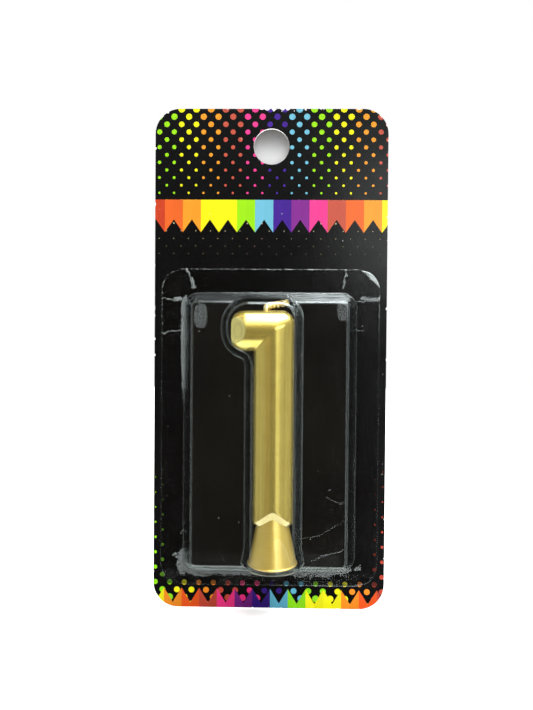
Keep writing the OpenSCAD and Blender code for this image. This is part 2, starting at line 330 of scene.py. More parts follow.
def cardPrint(tree, x, z):
    c = card
    topEdge, topColour = flagRow(
        tree, x, c["flagStart"], c["flagPitch"], c["flagPoint"], c["flagNotch"], topFlags, c["topInk"], c["topShade"])
    topMask = times(tree, less(tree, z, c["flagTop"]), more(tree, z, topEdge))
    lowEdge, lowColour = flagRow(
        tree, x, c["lowStart"], c["lowPitch"], c["lowPoint"], c["lowNotch"], lowFlags, c["lowInk"], c["lowShade"])
    lowMask = less(tree, z, lowEdge)
    # the head's dots grow small and faint below the flags, and the smallest are printed pale
    dots, dotColour, row = dotLayer(
        tree, x, z, c["topDot"], c["topDotSize"], c["topDotFade"], c["topInk"], c["dotShrink"])
    faint = mixValue(tree, smooth(tree, row, *c["dotFaint"][:2]), 1.0, c["dotFaint"][2])
    dots = times(tree, dots, more(tree, row, c["topDotEnd"]), faint)
    pale = times(tree, smooth(tree, row, *c["dotPale"][:2]), c["dotPale"][2])
    dotColour = blend(tree, pale, dotColour, ink["pale"])
    # the foot's dots climb only along the card's sides, and are dim under the film
    footDots, footColour, row = dotLayer(tree, x, z, c["lowDot"], c["lowDotSize"], -c["lowDotFade"], c["lowInk"])
    away = absolute(tree, x)
    margin = larger(tree, more(tree, away, c["lowDotHalf"]), less(tree, row, c["lowDotFull"]))
    footDots = times(tree, footDots, margin, less(tree, row, c["lowDotEnd"]))
    underFilm = times(tree, less(tree, away, c["flangeHalf"]), more(tree, z, c["flangeLow"]))
    footColour = blend(tree, times(tree, underFilm, c["filmDim"]), footColour, ink["black"])
    colour = ink["black"]
    for mask, layer in ((dots, dotColour), (footDots, footColour), (topMask, topColour), (lowMask, lowColour)):
        colour = blend(tree, mask, colour, layer)
    return colour


def bareBoard(tree, vector, y):
    # white inside and grey on the back, where short fibres show
    bare = blend(tree, more(tree, y, card["half"] - 0.06), ink["paper"], ink["board"])
    strand = put(tree, "TexNoise", {"Vector": vectors(tree, "MULTIPLY", vector, (0.5, 1.0, 1.9)),
                                    "Scale": 1.3, "Detail": 4.0, "Roughness": 0.65}).outputs[0]
    bare = blend(tree, times(tree, smooth(tree, strand, 0.56, 0.66), 0.3), bare, ink["darkFibre"])
    bare = blend(tree, times(tree, smooth(tree, strand, 0.43, 0.33), 0.35), bare, ink["paleFibre"])
    return vectors(tree, "SCALE", bare, mottle(tree, vector, 2.2, 0.86, 1.04))


def printedCard():
    material, tree = newMaterial("printedCard")
    vector, (x, y, z) = inMillimetres(tree)
    # paper shows where handling rubbed the ink off the edge, most of all at the middle of the top
    inset = minus(tree, card["corner"], roundRect(
        tree, x, z, card["width"], card["top"], card["bottom"], card["corner"]))
    topRub = times(tree, smooth(tree, z, 9.0, 10.0), smooth(tree, absolute(tree, minus(tree, x, 2.0)), 9.0, 4.0))
    rub = addTimes(tree, mottle(tree, vector, 0.9, -1.1, 0.3), topRub, 0.55)
    worn = smooth(tree, minus(tree, rub, inset), -0.06, 0.1)
    front = less(tree, y, 0.02 - card["half"])
    colour = blend(tree, worn, cardPrint(tree, x, z), ink["paper"])
    colour = blend(tree, front, bareBoard(tree, vector, y), colour)
    colour = blend(tree, times(tree, specks(tree, vector, 0.35, 0.12, 0.07), 0.35), colour, ink["dust"])
    printed = times(tree, front, minus(tree, 1.0, worn))
    rough = mixValue(tree, printed, card["rough"], mottle(tree, vector, 0.12, *card["gloss"]))
    return finishMaterial(material, "BsdfPrincipled", {
        "Base Color": colour, "Roughness": rough, "Specular IOR Level": card["specular"],
        "Normal": bumps(tree, noise(tree, vector, 1.6, 3.0), 0.05, 0.0002)})


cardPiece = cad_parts["backing_card"]
cardPiece.data.materials.clear()
cardPiece.data.materials.append(printedCard())
print("card printed")


# clear shell: one formed film as a height over the card

shell = {
    "face": 0.25, "film": 0.3, "wall": 0.27, "width": 61.0, "top": -34.1, "bottom": -123.0, "corner": 6.0,
    "trayWidth": 49.0, "trayTop": -40.4, "trayBottom": -119.1, "trayDepth": 6.0, "trayDraft": 25.0,
    "trayFootRound": 0.8, "trayCrownRound": 1.0, "trayCornerRound": 0.5, "trayCorner": 3.9,
    "stemX": 1.1, "base": -114.1, "halfWidth": 5.5, "flagHeight": 62.5, "flagReach": 11.35, "tipRoom": 0.7,
    "axisOut": 7.04, "pocketDepth": 12.94, "pocketDraft": 15.0, "pocketGrow": 3.787, "pocketCrownRound": 1.0,
    "pocketCorner": 3.5, "pocketValley": 0.7, "pocketEnd": 2.0, "pocketFloor": 1.3, "wickRoom": 1.48,
    "footReach": 8.04, "footTop": 4.99, "footHeight": 14.0, "footGap": 0.6, "footDraft": 14.0, "blend": 0.4,
    "coarse": (0.8, 0.9), "step": 0.02,
    "fineX": [(-25.0, -20.2, 0.2), (-14.8, -3.2, 0.2), (5.2, 10.6, 0.2), (20.2, 25.0, 0.2)],
    "fineZ": [(-121.5, -112.5, 0.2), (-112.5, -100.0, 0.5), (-67.0, -45.5, 0.25), (-45.5, -39.8, 0.2)],
}


def spacedLines(low, high, bands, coarse):
    # grid lines from low to high; inside each band (start, end, step) they stand that step apart
    place = np.linspace(low, high, 4001)
    density = np.full(place.shape, 1 / coarse)
    for start, end, step in bands:
        density = np.where((place > start) & (place < end), np.maximum(density, 1 / step), density)
    count = np.concatenate([[0], np.cumsum((density[1:] + density[:-1]) / 2 * np.diff(place))])
    return np.interp(np.linspace(0, count[-1], int(round(count[-1])) + 1), count, place)


def arcPoints(middle, radius, start, end, steps=24):
    t = np.radians(np.linspace(start, end, steps))
    return np.stack([middle[0] + radius * np.cos(t), middle[1] + radius * np.sin(t)], axis=1)


def wallProfile(depth, draft, footRound, crownRound):
    # inset and height from the foot round, up the sloping wall, over the crown round
    turn = np.radians(np.linspace(0, 90 - draft, 24))
    lean = math.tan(math.radians(draft))
    start = footRound * math.tan(math.radians(45 - draft / 2))
    foot = np.stack([footRound * np.sin(turn), footRound * (1 - np.cos(turn))], axis=1)
    middle = start + depth * lean + crownRound * math.tan(math.radians(45 - draft / 2))
    crown = np.stack([middle - crownRound * np.sin(turn[::-1]), depth - crownRound * (1 - np.cos(turn[::-1]))], axis=1)
    return np.concatenate([foot, crown]) if footRound else np.concatenate([[[0, 0]], crown])


def roundRectInset(x, z, halfWidth, halfHeight, radius):
    # distance inside the outline of a rectangle with round corners
    qx, qz = np.abs(x) - halfWidth + radius, np.abs(z) - halfHeight + radius
    outside = np.hypot(np.maximum(qx, 0), np.maximum(qz, 0))
    return radius - outside - np.minimum(np.maximum(qx, qz), 0)


def outlineInset(x, z, outline):
    # distance to a closed outline, positive inside: nearest point on each of its segments, sign by crossings
    a, b = outline, np.roll(outline, -1, axis=0)
    best, inside = np.full(x.shape, 1e9), np.zeros(x.shape, bool)
    for p, q in zip(a, b):
        d = q - p
        if d @ d < 1e-12:
            continue
        t = np.clip(((x - p[0]) * d[0] + (z - p[1]) * d[1]) / (d @ d), 0, 1)
        best = np.minimum(best, (x - p[0] - t * d[0]) ** 2 + (z - p[1] - t * d[1]) ** 2)
        if p[1] != q[1]:
            inside ^= ((p[1] > z) != (q[1] > z)) & (x < (q[0] - p[0]) * (z - p[1]) / (q[1] - p[1]) + p[0])
    return np.where(inside, 1, -1) * np.sqrt(best)


def softMax(a, b, width):
    # the higher of two heights, with a fillet where they cross
    return np.maximum(a, b) + np.maximum(width - np.abs(a - b), 0) ** 2 / (4 * width)


def pocketOutline(s):
    # round the corner over the bend, the flag's end, the valley under the flag, and the two corners at the foot
    head = np.array([s["stemX"] - s["flagReach"] - s["tipRoom"] + s["halfWidth"], s["base"] + s["flagHeight"]])
    headTop = head[1] + s["halfWidth"] + s["wickRoom"]
    bend = s["pocketValley"] + s["pocketGrow"]
    valley = np.array([s["stemX"] - s["halfWidth"] - bend, 0.0])
    side = valley[0] - head[0]
    drop = math.sqrt((s["halfWidth"] + bend) ** 2 - side ** 2)
    valley[1] = head[1] - drop
    turn = 360 + math.degrees(math.atan2(-drop, side))
    floor = s["base"] + s["pocketFloor"] + s["pocketEnd"]
    endX = s["halfWidth"] - s["pocketEnd"]
    corner = s["pocketCorner"]
    return np.concatenate([
        arcPoints((s["stemX"] + s["halfWidth"] - corner, headTop - corner), corner, 0, 90),
        arcPoints((head[0], headTop - s["halfWidth"]), s["halfWidth"], 90, 180),
        arcPoints(head, s["halfWidth"], 181, turn - 1),
        arcPoints(valley, -bend, turn, 180),
        arcPoints((s["stemX"] - endX, floor), s["pocketEnd"], 180, 270),
        arcPoints((s["stemX"] + endX, floor), s["pocketEnd"], 270, 360)])


def footHeight(x, z, s):
    # bulge over the foot: the top of a circle around the candle's axis, then a sloping side, and a sloping end
    low, high = s["base"] - s["footGap"], s["base"] + s["footHeight"]
    radius = np.interp(z, [low, high], [s["footReach"], s["footTop"]])
    dx = np.abs(x - s["stemX"])
    lean = math.radians(s["footDraft"])
    tangent = radius * math.cos(lean)
    arch = s["axisOut"] + np.sqrt(np.maximum(radius ** 2 - np.minimum(dx, tangent) ** 2, 0))
    h = np.where(dx < tangent, arch, arch - (dx - tangent) / math.tan(lean))
    h = np.where(z < low, h - (low - z) / math.tan(lean), h)
    return np.where(z > high, 0, np.maximum(h, 0))


def shellHeight(x, z, s):
    # tray, pocket and foot bulge by their wall profiles over the distance inside each outline
    trayHalf = (s["trayTop"] - s["trayBottom"]) / 2
    wall = wallProfile(s["trayDepth"] - s["film"], s["trayDraft"], s["trayFootRound"], s["trayCrownRound"])
    inset = roundRectInset(x, z - (s["trayTop"] + s["trayBottom"]) / 2, s["trayWidth"] / 2, trayHalf,
                           s["trayCornerRound"] + wall[-1, 0] + s["film"])
    tray = s["film"] + np.interp(inset, wall[:, 0], wall[:, 1])
    pocketWall = wallProfile(s["pocketDepth"], s["pocketDraft"], 0, s["pocketCrownRound"])
    grown = outlineInset(x, z, pocketOutline(s)) + s["pocketGrow"]
    pocket = np.interp(grown, pocketWall[:, 0], pocketWall[:, 1])
    form = softMax(pocket, footHeight(x, z, s), s["blend"] / 2)
    return np.where(form > 0.2, softMax(tray, form, s["blend"]), tray)


def shellSurface(s):
    # the height over a grid, with a second skin inside it along the surface's normals
    xs = spacedLines(-s["width"] / 2, s["width"] / 2, s["fineX"], s["coarse"][0])
    zs = spacedLines(s["bottom"], s["top"], s["fineZ"], s["coarse"][1])
    x, z = np.meshgrid(xs, zs)
    # rows near the corners are drawn in, so the edge follows the round corners
    middle, half = (s["top"] + s["bottom"]) / 2, (s["top"] - s["bottom"]) / 2
    over = np.maximum(np.abs(z - middle) - half + s["corner"], 0)
    x = x * (s["width"] / 2 - s["corner"] + np.sqrt(np.maximum(s["corner"] ** 2 - over ** 2, 0))) / (s["width"] / 2)
    h = shellHeight(x, z, s)
    e = s["step"]
    hx = (shellHeight(x + e, z, s) - shellHeight(x - e, z, s)) / (2 * e)
    hz = (shellHeight(x, z + e, s) - shellHeight(x, z - e, s)) / (2 * e)
    normal = np.stack([-hx, -np.ones_like(hx), -hz], axis=-1)
    normal /= np.linalg.norm(normal, axis=-1, keepdims=True)
    outer = np.stack([x, -s["face"] - h, z], axis=-1)
    inner = outer - s["wall"] * normal
    rows, cols = x.shape
    count = rows * cols
    faces = gridQuads(rows, cols, False)
    back = gridQuads(rows, cols, False, count)[:, ::-1]
    rim = np.concatenate([np.arange(cols), np.arange(1, rows) * cols + cols - 1,
                          (rows - 1) * cols + np.arange(cols - 2, -1, -1), np.arange(rows - 2, 0, -1) * cols])
    after = np.roll(rim, -1)
    side = np.stack([rim, rim + count, after + count, after], axis=1)
    points = np.concatenate([outer.reshape(-1, 3), inner.reshape(-1, 3)])
    return points, np.concatenate([faces, back, side]).tolist()


# creases in the flange where the film came off the card: start, end, half width
creases = [
    ((-23.5, -34.1), (-22.4, -37.3), 0.2), ((-22.2, -37.0), (-21.4, -39.3), 0.55),
    ((-29.9, -42.3), (-26.8, -43.1), 0.16), ((-26.8, -42.5), (-24.0, -42.9), 0.4),
    ((-30.1, -52.3), (-25.2, -51.2), 0.2), ((20.9, -34.2), (21.2, -35.9), 0.2),
    ((20.7, -35.5), (20.5, -39.2), 0.16), ((25.6, -42.2), (30.1, -42.4), 0.55),
    ((24.3, -43.1), (26.6, -43.0), 0.1), ((24.5, -51.2), (26.0, -51.2), 0.08),
    ((-23.9, -107.4), (-24.6, -108.8), 0.2), ((-26.6, -114.9), (-24.0, -113.2), 0.5),
    ((-25.0, -115.4), (-24.2, -119.4), 1.0), ((-22.6, -119.6), (-18.6, -120.2), 0.7),
    ((24.4, -118.4), (26.0, -117.6), 0.3),
]
# hairlines on the tray's front, given in the same way
hairlines = [
    ((8.8, -108.0), (13.4, -106.8), 0.09), ((13.4, -106.8), (16.9, -105.2), 0.09),
    ((16.9, -105.2), (20.4, -102.7), 0.08), ((11.6, -114.0), (14.6, -112.4), 0.16),
    ((14.6, -112.4), (20.5, -111.0), 0.2), ((15.5, -96.3), (17.7, -97.6), 0.08),
    ((17.7, -97.6), (20.4, -97.9), 0.1), ((-13.4, -111.3), (-12.0, -114.0), 0.09),
    ((12.7, -89.0), (14.1, -90.1), 0.08), ((15.7, -94.9), (16.8, -94.1), 0.08),
]
# hazy patches on the tray's front: middle, half sizes, haze
patches = [((-18.8, -47.6), (2.0, 3.6), 0.045), ((19.6, -45.6), (1.6, 3.4), 0.035)]
# how the film looks; the second row gives its hazes, among them the top wall's painted sheen, and each painted
# highlight line is a height and a haze
film = {
    "index": 1.52, "tint": (0.86, 0.95, 0.93, 1), "rough": 0.012, "hazeRough": 0.6, "drawn": 0.5, "dimple": 4.8,
    "dust": 0.1, "lift": 0.065, "footLift": 0.045, "scratch": 0.045, "grain": 0.05, "rim": 0.3, "topWallSheen": (0.02, 0.16),
    "lines": [(0.55, 0.02), (5.75, 0.035), (6.4, 0.05), (12.35, 0.05)],
}

creaseGroup, given, result = newGroup("filmCrease", ["Vector", "Start", "Along"], ["Length", "Width", "Ragged"], "Mask")
# distance to the stretch from Start along a unit vector, against a ragged width
toPoint = vectors(creaseGroup, "SUBTRACT", given["Vector"], given["Start"])
reach = vectors(creaseGroup, "DOT_PRODUCT", toPoint, given["Along"])
reach = calc(creaseGroup, "MINIMUM", larger(creaseGroup, reach, 0.0), given["Length"])
apart = vectors(creaseGroup, "DISTANCE", toPoint, vectors(creaseGroup, "SCALE", given["Along"], reach))
room = minus(creaseGroup, times(creaseGroup, given["Width"], given["Ragged"]), apart)
creaseGroup.links.new(smooth(creaseGroup, room, -0.06, 0.06), result)


def strokes(tree, plane, lines, ragged):
    # the strongest of several straight stretches
    marks = 0.0
    for start, end, width in lines:
        length = math.dist(start, end)
        along = ((end[0] - start[0]) / length, 0, (end[1] - start[1]) / length)
        marks = larger(tree, marks, useGroup(tree, creaseGroup, {
            "Vector": plane, "Start": (start[0], 0, start[1]), "Along": along, "Length": length, "Width": width,
            "Ragged": ragged}))
    return marks


def wandering(tree, vector, x, z, scale, detail, reach):
    # the plane's coordinates, moved by noise, so that lines drawn on them wander
    shift = vectors(tree, "SUBTRACT", noise(tree, vector, scale, detail, "Color"), (0.5, 0.5, 0.5))
    return vectors(tree, "MULTIPLY_ADD", shift, (reach, 0, reach), put(tree, "CombineXYZ", {0: x, 2: z}).outputs[0])


def filmLift(tree, vector, x, z, ragged):
    # where the film came off the card: strips beside the tray's foot and upper left, the top right corner, creases
    s = shell
    away = minus(tree, roundRect(
        tree, x, z, s["trayWidth"], s["trayTop"], s["trayBottom"], s["trayCorner"]), s["trayCorner"])
    slant = addTimes(tree, z, calc(tree, "MINIMUM", x, 0.0), 0.16)
    atFoot = times(tree, smooth(tree, slant, -117.0, -121.0), 1.3)
    upper = times(tree, smooth(tree, z, -78.0, -55.0), smooth(tree, x, -23.0, -24.0), 0.34)
    strip = addTimes(tree, times(tree, upper, 0.6), ragged, plus(tree, atFoot, upper))
    lifted = times(tree, smooth(tree, minus(tree, strip, away), -0.04, 0.1), smooth(tree, strip, 0.1, 0.3))
    chord = plus(tree, minus(tree, x, s["trayWidth"] / 2), minus(tree, z, s["trayTop"]))
    corner = times(tree, smooth(tree, addTimes(tree, chord, ragged, -0.5), 6.3, 7.2), 2.2)
    creased = strokes(tree, wandering(tree, vector, x, z, 0.8, 3.0, 2.2), creases, ragged)
    return larger(tree, larger(tree, lifted, corner), creased)


def filmHazeAndPaintedLight(tree, vector, x, z, height, facing, lifted, sealed, ragged):
    s = shell
    haze = times(tree, specks(tree, vector, 0.45, 0.16, 0.06), film["dust"])
    haze = addTimes(tree, haze, lifted, mixValue(tree, smooth(tree, z, -112.0, -118.0), film["lift"], film["footLift"]))
    onFront = more(tree, height, s["trayDepth"] - 0.06)
    scratch = strokes(tree, wandering(tree, vector, x, z, 0.35, 1.0, 1.6), hairlines, 1.0)
    haze = addTimes(tree, haze, times(tree, scratch, onFront), film["scratch"])
    # small marks of the sealing tool below the tray, on two slanting sets of lines
    slants = [calc(tree, "SINE", times(tree, calc(tree, way, x, z), film["dimple"])) for way in ("ADD", "SUBTRACT")]
    cloud = larger(tree, mottle(tree, vector, 0.16, -0.4, 1.0), 0.0)
    dimples = times(tree, smooth(tree, times(tree, *slants), 0.45, 0.9), sealed, cloud, smooth(tree, z, -118.0, -120.5))
    haze = addTimes(tree, haze, dimples, film["grain"])
    # the cut edge of the flange catches light in flecks, most of all at the top
    edge = roundRect(tree, x, z, s["width"], s["top"], s["bottom"], s["corner"])
    fleck = larger(tree, mottle(tree, vector, 1.1, -0.7, 0.8), 0.0)
    rim = times(tree, smooth(tree, edge, s["corner"] - 0.3, s["corner"] - 0.1),
                addTimes(tree, 0.03, fleck, smooth(tree, z, -60.0, -36.0)))
    haze = addTimes(tree, haze, rim, film["rim"])
    # a thin white haze line is painted as a highlight along each edge the film was drawn over
    sloped = smooth(tree, absolute(tree, facing[1]), 0.985, 0.93)
    for place, level in film["lines"]:
        line = smooth(tree, absolute(tree, minus(tree, height, place)), 0.16, 0.04)
        haze = addTimes(tree, haze, times(tree, line, sloped), level)
    # painted sheen: white haze on the tray's top wall, which faces up, streaked along its length, more so to the right
    topWall = times(tree, smooth(tree, facing[2], 0.55, 0.8), less(tree, height, s["trayDepth"] + 0.35))
    topWallSheen = noise(tree, vectors(tree, "MULTIPLY", vector, (0.1, 1.6, 1.6)), 1.0, 3.0)
    topWallSheen = mixValue(tree, smooth(tree, topWallSheen, 0.4, 0.62), 0.25, 1.3)
    topWallSheen = times(tree, topWallSheen, mixValue(tree, smooth(tree, x, -12.0, 20.0), *film["topWallSheen"]))
    haze = addTimes(tree, haze, topWall, topWallSheen)
    for middle, size, level in patches:
        px = ratio(tree, minus(tree, x, middle[0]), size[0])
        pz = ratio(tree, minus(tree, z, middle[1]), size[1])
        spot = smooth(tree, addTimes(tree, squares(tree, px, pz), ragged, 0.35), 1.3, 1.15)
        haze = addTimes(tree, haze, times(tree, spot, onFront), level)
    return haze


def clearFilm():
    material, tree = newMaterial("clearFilm")
    vector, (x, y, z) = inMillimetres(tree)
    depth = shell["trayDepth"]
    height = minus(tree, times(tree, y, -1.0), shell["face"])
    geometry = put(tree, "NewGeometry").outputs
    facing = split(tree, geometry["Normal"])
    ragged = mottle(tree, vector, 0.9, 0.35, 1.5)
    flat = less(tree, height, shell["film"] + 0.03)
    lifted = times(tree, filmLift(tree, vector, x, z, ragged), flat)
    sealed = minus(tree, flat, lifted)
    # the film mirrors by its index, but not where it is sealed down, and less on the pocket's steep walls, drawn thin
    index = mixValue(tree, geometry["Backfacing"], film["index"], 1 / film["index"])
    steep = smooth(tree, absolute(tree, facing[1]), 0.6, 0.4)
    drawn = times(tree, smooth(tree, height, depth + 0.4, depth + 1.2), steep, film["drawn"])
    mirror = put(tree, "Fresnel", {"IOR": index}).outputs[0]
    mirror = times(tree, mirror, minus(tree, 1.0, sealed), minus(tree, 1.0, drawn))
    # haze is the rough white share of what the film sends back
    haze = filmHazeAndPaintedLight(tree, vector, x, z, height, facing, lifted, sealed, ragged)
    alpha = addTimes(tree, mirror, haze, minus(tree, 1.0, mirror))
    share = ratio(tree, haze, larger(tree, alpha, 0.001))
    rough = mixValue(tree, smooth(tree, share, 0.06, 0.95), film["rough"], film["hazeRough"])
    return finishMaterial(material, "BsdfPrincipled", {
        "Base Color": film["tint"], "Metallic": minus(tree, 1.0, share), "Roughness": rough, "Alpha": alpha,
        "Normal": bumps(tree, noise(tree, vector, 0.5), 0.06, 0.0002)})


points, faces = shellSurface(shell)
putMesh("clearShell", "pack", ["blister_shell"], points, flipped(faces), clearFilm())


# candle: numeral, foot and wick, drawn around the middle of the foot's underside

candle = {"x": 1.1, "y": -7.29, "z": -114.1}
numeral = {
    "height": 68.0, "width": 11.0, "depth": 10.0, "reach": 11.35, "bend": 3.5, "valley": 0.25, "tipRound": 4.0,
    "tipFlat": 6.0, "facetTurn": 36.0, "facetCut": 2.2, "stemEnd": 10.9, "lipRise": 4.1, "bevelSide": 0.8,
    "bevelFront": 2.2, "lipSoft": 0.2, "lipShadeTop": 17.0, "ringRise": 0.06, "ringPlace": 0.8, "ringWidth": 1.35,
    "ringHeight": 1.9, "ringSoft": 0.2, "sides": 144, "turnSteps": 40, "endRings": 8,
}
foot = {"radius": 6.594, "flare": 11.7, "height": 14.0, "rim": 0.5, "rimOut": 0.15, "rimIn": 0.1, "sides": 160,
        "fit": 0.1, "core": 0.05, "hollow": 0.15, "under": [(-1.2, 0.15), (-0.9, 0.0), (-0.25, 0.0)]}
# gold lacquer: shares of the base colour in its mottle and its turned lines, and colours: dust specks, the painted
# shade under the lip, the painted highlight on the facet and the painted shade line round its oval
lacquer = {"mottle": (0.93, 0.9, 0.82), "turned": (0.78, 0.72, 0.5), "dust": (0.95, 0.88, 0.55),
           "lip": (0.56, 0.47, 0.19), "facet": (1.0, 0.9, 0.31), "ring": (0.55, 0.42, 0.1)}


def atCandle(points):
    return points + np.array([candle["x"], candle["y"], candle["z"]])


def footRadius(z):
    return foot["radius"] - math.tan(math.radians(foot["flare"])) * z


def numeralRings(n):
    # rings of an oval tube: u across the tube and out of the bend, v towards the front
    t = np.linspace(0, 2 * np.pi, n["sides"], endpoint=False)
    c, s = np.cos(t), np.sin(t)
    halfW, halfD = n["width"] / 2, n["depth"] / 2
    flagZ = n["height"] - halfW

    # tip: the section grows from a flat end along a quarter turn
    a = np.radians(np.linspace(0, 90, n["turnSteps"]))[:, None]
    flatShare = n["tipFlat"] / n["width"]
    size = flatShare + (1 - flatShare) * np.sin(a)
    tip = np.stack([np.broadcast_to(-n["reach"] + n["tipRound"] * (1 - np.cos(a)), size.shape) + 0 * c,
                    -size * halfD * s, flagZ + size * halfW * c], axis=-1)
    # inside the flat end, down to its middle
    disc = np.linspace(0.1, 0.96, n["endRings"])[:, None] * flatShare
    end = np.stack([-n["reach"] + 0 * disc * c, -disc * halfD * s, flagZ + disc * halfW * c], axis=-1)

    # bend: each line along the tube turns on its own radius, small in the valley and large outside
    u = halfW * c
    r = n["valley"] + (n["bend"] - n["valley"]) * np.maximum(0, c)
    b = np.radians(np.linspace(90, 0, n["turnSteps"]))[:, None]
    bend = np.stack([u - r + r * np.cos(b), -halfD * s + 0 * b, flagZ + u - r + r * np.sin(b)], axis=-1)
    flagStraight = tip[-1] + (bend[0] - tip[-1]) * np.linspace(0, 1, 22)[1:-1, None, None]

    # stem down to the arched lip, whose bevel turns in to the foot
    arch = 1 - (np.hypot(c, n["lipSoft"]) - n["lipSoft"]) / (math.hypot(1, n["lipSoft"]) - n["lipSoft"])
    lip = np.stack([halfW * c, -halfD * s, n["stemEnd"] + n["lipRise"] * arch], axis=-1)
    stem = bend[-1] + (lip - bend[-1]) * np.linspace(0, 1, 70)[1:-1, None, None]
    lowZ = n["stemEnd"] - n["bevelSide"] + (n["lipRise"] + n["bevelSide"] - n["bevelFront"]) * arch
    seatR = footRadius(lowZ) + foot["fit"]
    seat = np.stack([seatR * c, -seatR * s, lowZ], axis=-1)
    bevel = lip + (seat - lip) * np.linspace(0, 1, 14)[:, None, None]
    topR = footRadius(foot["height"]) + foot["fit"]
    top = np.stack([topR * c, -topR * s, np.full(n["sides"], foot["height"] + foot["fit"])], axis=-1)
    inside = seat + (top - seat) * np.linspace(0, 1, 6)[1:, None, None]
    rings = np.concatenate([end, tip, flagStraight, bend, stem, bevel, inside])

    # facet: what stands beyond its plane is pressed back onto it, with a faint oval ring left proud
    turn = math.radians(n["facetTurn"])
    inward = np.array([math.sin(turn), math.cos(turn), 0])
    along = np.array([math.cos(turn), -math.sin(turn), 0])
    rel = rings - np.array([-n["reach"], -halfD, flagZ])
    short = np.maximum(n["facetCut"] - rel @ inward, 0)
    onFacet = short > 0
    rings = rings + short[..., None] * inward
    spot = rel + short[..., None] * inward - along * n["ringPlace"]
    oval = np.hypot((spot @ along) / n["ringWidth"], spot[..., 2] / n["ringHeight"])
    raised = n["ringRise"] * np.exp(-((oval - 1) / n["ringSoft"]) ** 2) * onFacet
    return rings - raised[..., None] * inward


def shaded(colour, shares):
    return tuple(c * share for c, share in zip(colour, shares))


def numeralPaintedShading(tree, vector, z, colour):
    # painted shade on the faces under the lip that look down; a painted highlight makes the facet paler, with a faint
    # painted shade line round the oval on it
    n, angle = numeral, math.radians(numeral["facetTurn"])
    slope = split(tree, put(tree, "NewGeometry").outputs["True Normal"])[2]
    # painted shade: faces tilted down, low on the numeral, take the darker lip colour
    lip = times(tree, smooth(tree, slope, -0.12, -0.35), less(tree, z, candle["z"] + n["lipShadeTop"]))
    colour = blend(tree, lip, colour, lacquer["lip"])
    tip = (candle["x"] - n["reach"], candle["y"] - n["depth"] / 2, candle["z"] + n["height"] - n["width"] / 2)
    fromTip = vectors(tree, "SUBTRACT", vector, tip)
    deep = vectors(tree, "DOT_PRODUCT", fromTip, (math.sin(angle), math.cos(angle), 0))
    along = vectors(tree, "DOT_PRODUCT", fromTip, (math.cos(angle), -math.sin(angle), 0))
    across = ratio(tree, minus(tree, along, n["ringPlace"]), n["ringWidth"])
    rise = ratio(tree, split(tree, fromTip)[2], n["ringHeight"])
    oval = calc(tree, "SQRT", squares(tree, across, rise))
    # painted highlight: the facet takes a paler colour
    facet = smooth(tree, absolute(tree, minus(tree, deep, n["facetCut"])), 0.2, 0.14)
    colour = blend(tree, times(tree, facet, 0.9), colour, lacquer["facet"])
    # painted shade: a faint dark line round the raised oval on the facet
    ring = times(tree, smooth(tree, absolute(tree, minus(tree, oval, 1.0)), 0.3, 0.1), facet)
    return blend(tree, times(tree, ring, 0.15), colour, lacquer["ring"])


def goldLacquer(name, base, metal, rough, lines):
    # satin metal lacquer with specks; turned lines where asked, or else the numeral's painted shade and highlight
    material, tree = newMaterial(name)
    vector, (_, _, z) = inMillimetres(tree)
    colour = blend(tree, mottle(tree, vector, 0.3, 0.0, 1.0), base, shaded(base, lacquer["mottle"]))
    dust = specks(tree, vector, 0.6, 0.2, 0.12)
    colour = blend(tree, times(tree, dust, 0.5), colour, lacquer["dust"])
    relief = times(tree, noise(tree, vector, 3.0, 3.0), 0.35)
    if lines:
        drift = times(tree, noise(tree, vector, 0.4), 3.0)
        turning = calc(tree, "SINE", addTimes(tree, drift, z, lines))
        colour = blend(tree, times(tree, smooth(tree, turning, 0.0, 1.0), 0.6), colour, shaded(base, lacquer["turned"]))
        relief = addTimes(tree, relief, turning, 0.06)
    else:
        colour = numeralPaintedShading(tree, vector, z, colour)
    relief = addTimes(tree, relief, dust, 0.8)
    return finishMaterial(material, "BsdfPrincipled", {
        "Base Color": colour, "Metallic": metal, "Roughness": mottle(tree, vector, 1.2, rough * 0.85, rough * 1.2),
        "Coat Weight": 1.0, "Coat Roughness": 0.12, "Normal": bumps(tree, relief, 0.12, 0.00005)})


points, faces = tube(numeralRings(numeral))
putMesh("candleNumeral", "candle", ["candle_numeral"], atCandle(points), faces,
        goldLacquer("goldWax", (0.83, 0.665, 0.148), 0.84, 0.19, 0), 40)


def footRings(f):
    # profile turned around the candle's axis: underside, bead, cone, top
    bead = np.radians(np.linspace(-80, 80, 12))
    beadR = f["radius"] - f["rimIn"] + (f["rimOut"] + f["rimIn"]) * np.cos(bead)
    cone = np.linspace(f["rim"], f["height"], 60)
    profile = np.concatenate([
        [[f["core"], f["hollow"]]], [[f["radius"] + out, up] for out, up in f["under"]],
        np.stack([beadR, f["rim"] / 2 + f["rim"] / 2 * np.sin(bead)], axis=1),
        np.stack([footRadius(cone), cone], axis=1), [[f["core"], f["height"]]]])
    t = np.linspace(0, 2 * np.pi, f["sides"], endpoint=False)
    r, z = profile[:, :1], profile[:, 1:]
    return np.stack([r * np.cos(t), r * np.sin(t), np.broadcast_to(z, (len(profile), f["sides"]))], axis=-1)


points, faces = tube(footRings(foot))
putMesh("candleFoot", "candle", ["candle_foot"], atCandle(points), faces,
        goldLacquer("goldFoot", (0.9, 0.69, 0.17), 0.8, 0.34, 14.0), 40)

# dark is the thread's brown, also standing in for shade in its grooves; bright is a painted glint
wick = {"width": 1.95, "offset": 2.1, "rise": 2.5, "run": 6.2, "lean": 4.0, "below": 4.0, "plies": 2, "pitch": 2.8,
        "groove": 0.44, "lump": 0.12, "lumpWave": (2.7, 0.6), "lumpTurn": 1.9, "endRound": 0.35, "sides": 36,
        "steps": 110, "dark": (0.36, 0.25, 0.07), "gold": (0.82, 0.68, 0.27), "bright": (1.0, 0.97, 0.7), "metal": 0.4}


